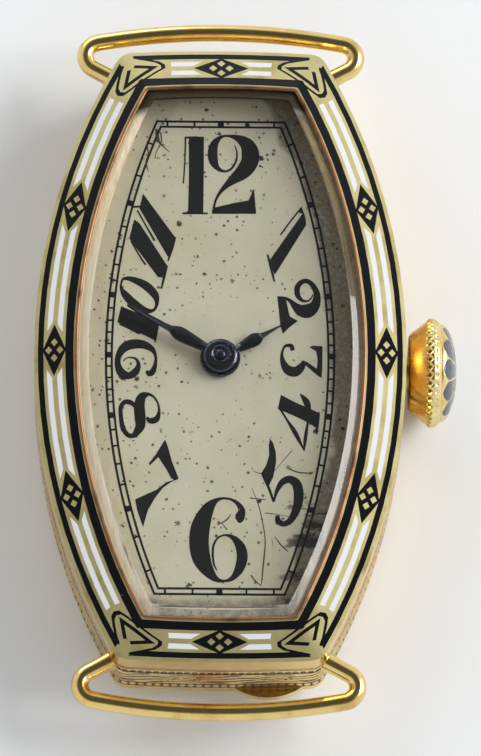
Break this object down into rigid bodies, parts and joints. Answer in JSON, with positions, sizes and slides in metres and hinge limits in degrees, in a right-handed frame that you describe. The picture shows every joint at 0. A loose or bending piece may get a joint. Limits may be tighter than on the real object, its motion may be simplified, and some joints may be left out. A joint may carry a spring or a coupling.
{
  "type": "wristwatch",
  "caption": "Barrel-shaped dress wristwatch head with an enamelled bezel, wire lugs, a crown, hands and a hand-wound movement.",
  "frame": {"origin": "middle of the case back's flat, on the surface that the watch lies on", "axes": "+X to 3 o'clock and the crown, +Y to 12 o'clock, +Z out of the dial"},
  "size_m": [0.0205, 0.036, 0.0059],
  "materials": {
    "gold_case": "polished yellow gold, engraved and worn",
    "gold_tube": "satin gold",
    "black_enamel": "glossy black champleve enamel",
    "white_enamel": "glossy white champleve enamel",
    "crown_enamel": "glossy grey-blue enamel",
    "crystal": "clear, bevelled",
    "dial_silver": "silvered, tarnished and spotted",
    "dark_steel": "dark blued steel",
    "blued_steel": "blued steel",
    "gilt_brass": "gilt brass",
    "ruby": "polished ruby",
    "steel": "polished steel"
  },
  "bodies": {
    "case": {"case_band": "gold_case", "lug_top": "gold_case", "lug_bottom": "gold_case", "stem_tube": "gold_tube", "case_screws": "blued_steel", "dial": "dial_silver", "main_plate": "gilt_brass", "barrel_bridge": "gilt_brass", "train_bridge": "gilt_brass", "pallet_cock": "gilt_brass", "balance_cock": "gilt_brass", "plate_jewels": "ruby", "bridge_jewels": "ruby", "bridge_screws": "blued_steel", "click_spring": "blued_steel", "crown_wheel_screw": "blued_steel", "setting_bridge": "steel", "yoke_spring": "blued_steel", "hairspring_stud": "steel"},
    "bezel": {"bezel": "gold_case", "black_enamel": "black_enamel", "white_enamel": "white_enamel", "crystal": "crystal"},
    "back": {"case_back": "gold_case"},
    "minute": {"minute_hand": "dark_steel", "cannon_pinion": "steel"},
    "hour": {"hour_hand": "dark_steel", "hour_wheel": "gilt_brass"},
    "minute_wheel": {"minute_wheel": "gilt_brass"},
    "setting_wheel": {"setting_wheel": "steel"},
    "fourth_wheel": {"fourth_wheel": "gilt_brass"},
    "third_wheel": {"third_wheel": "gilt_brass"},
    "center_wheel": {"center_wheel": "gilt_brass"},
    "barrel": {"barrel": "gilt_brass", "barrel_cover": "gilt_brass", "mainspring": "steel"},
    "escape_wheel": {"escape_wheel": "steel"},
    "winding_pinion": {"winding_pinion": "steel"},
    "crown_wheel": {"crown_wheel": "steel"},
    "ratchet": {"ratchet_wheel": "steel", "ratchet_screw": "blued_steel", "barrel_arbor": "steel"},
    "crown": {"crown": "gold_case", "crown_enamel": "crown_enamel", "winding_stem": "steel"},
    "sliding_pinion": {"sliding_pinion": "steel"},
    "setting_lever": {"setting_lever": "steel"},
    "yoke": {"yoke": "steel"},
    "click": {"click": "steel"},
    "fork": {"pallet_fork": "steel", "pallet_stones": "ruby"},
    "balance": {"balance_wheel": "gilt_brass", "balance_screws": "gilt_brass", "roller": "ruby", "hairspring": "blued_steel"},
    "regulator": {"regulator": "steel"}
  },
  "joints": [
    {"name": "bezel_off", "type": "slide", "parent": "case", "child": "bezel", "axis": [0, 0, 1], "range_m": [0, 0.006]},
    {"name": "back_off", "type": "slide", "parent": "case", "child": "back", "axis": [0, 0, -1], "range_m": [0, 0.006]},
    {"name": "hands_set", "type": "hinge", "parent": "case", "child": "minute", "pos_m": [0, 0, 0.004], "axis": [0, 0, -1], "continuous": true},
    {"name": "minute_wheel_turn", "type": "hinge", "parent": "case", "child": "minute_wheel", "pos_m": [0.00208, -0.0012, 0.0037], "axis": [0, 0, -1], "continuous": true},
    {"name": "hour_turn", "type": "hinge", "parent": "case", "child": "hour", "pos_m": [0, 0, 0.004], "axis": [0, 0, -1], "continuous": true},
    {"name": "setting_wheel_turn", "type": "hinge", "parent": "case", "child": "setting_wheel", "pos_m": [0.00413, 0.00023, 0.0037], "axis": [0, 0, -1], "continuous": true},
    {"name": "fourth_turn", "type": "hinge", "parent": "case", "child": "fourth_wheel", "pos_m": [-0.00094, -0.00399, 0.0025], "axis": [0, 0, -1], "continuous": true},
    {"name": "third_turn", "type": "hinge", "parent": "case", "child": "third_wheel", "pos_m": [-0.0031, -0.00183, 0.0025], "axis": [0, 0, -1], "continuous": true},
    {"name": "center_turn", "type": "hinge", "parent": "case", "child": "center_wheel", "pos_m": [0, 0, 0.0025], "axis": [0, 0, -1], "continuous": true},
    {"name": "barrel_turn", "type": "hinge", "parent": "case", "child": "barrel", "pos_m": [0, 0.00609, 0.0028], "axis": [0, 0, -1], "continuous": true},
    {"name": "escape_turn", "type": "hinge", "parent": "case", "child": "escape_wheel", "pos_m": [0.00178, -0.00498, 0.0025], "axis": [0, 0, -1], "continuous": true},
    {"name": "crown_turn", "type": "hinge", "parent": "case", "child": "winding_pinion", "pos_m": [0.006, 0, 0.00275], "axis": [1, 0, 0], "continuous": true},
    {"name": "crown_wheel_turn", "type": "hinge", "parent": "case", "child": "crown_wheel", "pos_m": [0.00365, 0, 0.0016], "axis": [0, 0, 1], "continuous": true},
    {"name": "ratchet_turn", "type": "hinge", "parent": "case", "child": "ratchet", "pos_m": [0, 0.00609, 0.0016], "axis": [0, 0, 1], "continuous": true},
    {"name": "crown_pull", "type": "slide", "parent": "winding_pinion", "child": "crown", "axis": [1, 0, 0], "range_m": [0, 0.0005]},
    {"name": "clutch_shift", "type": "slide", "parent": "winding_pinion", "child": "sliding_pinion", "axis": [1, 0, 0], "range_m": [-0.0005, 0]},
    {"name": "setting_lever_turn", "type": "hinge", "parent": "case", "child": "setting_lever", "pos_m": [0.00655, 0.00275, 0.0036], "axis": [0, 0, 1], "range_deg": [0, 11.3]},
    {"name": "yoke_turn", "type": "hinge", "parent": "case", "child": "yoke", "pos_m": [0.0062, -0.0033, 0.0036], "axis": [0, 0, 1], "range_deg": [0, 10.5]},
    {"name": "click_lift", "type": "hinge", "parent": "case", "child": "click", "pos_m": [-0.00493, 0.00789, 0.0016], "axis": [0, 0, 1], "range_deg": [0, 12], "stiffness_Nm_per_rad": 0.000001},
    {"name": "fork_swing", "type": "hinge", "parent": "case", "child": "fork", "pos_m": [0.00103, -0.00716, 0.0026], "axis": [0, 0, 1], "range_deg": [-5, 5]},
    {"name": "balance_swing", "type": "hinge", "parent": "case", "child": "balance", "pos_m": [0.00025, -0.00943, 0.0018], "axis": [0, 0, 1], "range_deg": [-270, 270], "stiffness_Nm_per_rad": 0.00000004},
    {"name": "regulator_turn", "type": "hinge", "parent": "case", "child": "regulator", "pos_m": [0.00025, -0.00943, 0.001], "axis": [0, 0, 1], "range_deg": [-18, 18]}
  ],
  "couplings": [
    {"joint": "minute_wheel_turn", "follows": "hands_set", "ratio": -0.33333},
    {"joint": "hour_turn", "follows": "hands_set", "ratio": 0.083333},
    {"joint": "setting_wheel_turn", "follows": "hands_set", "ratio": 0.85714},
    {"joint": "third_turn", "follows": "fourth_turn", "ratio": -0.13333},
    {"joint": "center_turn", "follows": "fourth_turn", "ratio": 0.016667},
    {"joint": "barrel_turn", "follows": "fourth_turn", "ratio": -0.0027778},
    {"joint": "escape_turn", "follows": "fourth_turn", "ratio": -10},
    {"joint": "crown_wheel_turn", "follows": "crown_turn", "ratio": 0.35714},
    {"joint": "ratchet_turn", "follows": "crown_turn", "ratio": -0.23256},
    {"joint": "clutch_shift", "follows": "crown_pull", "ratio": -1},
    {"joint": "setting_lever_turn", "follows": "crown_pull", "rad_per_m": 393.4},
    {"joint": "yoke_turn", "follows": "crown_pull", "rad_per_m": 364.4}
  ]
}
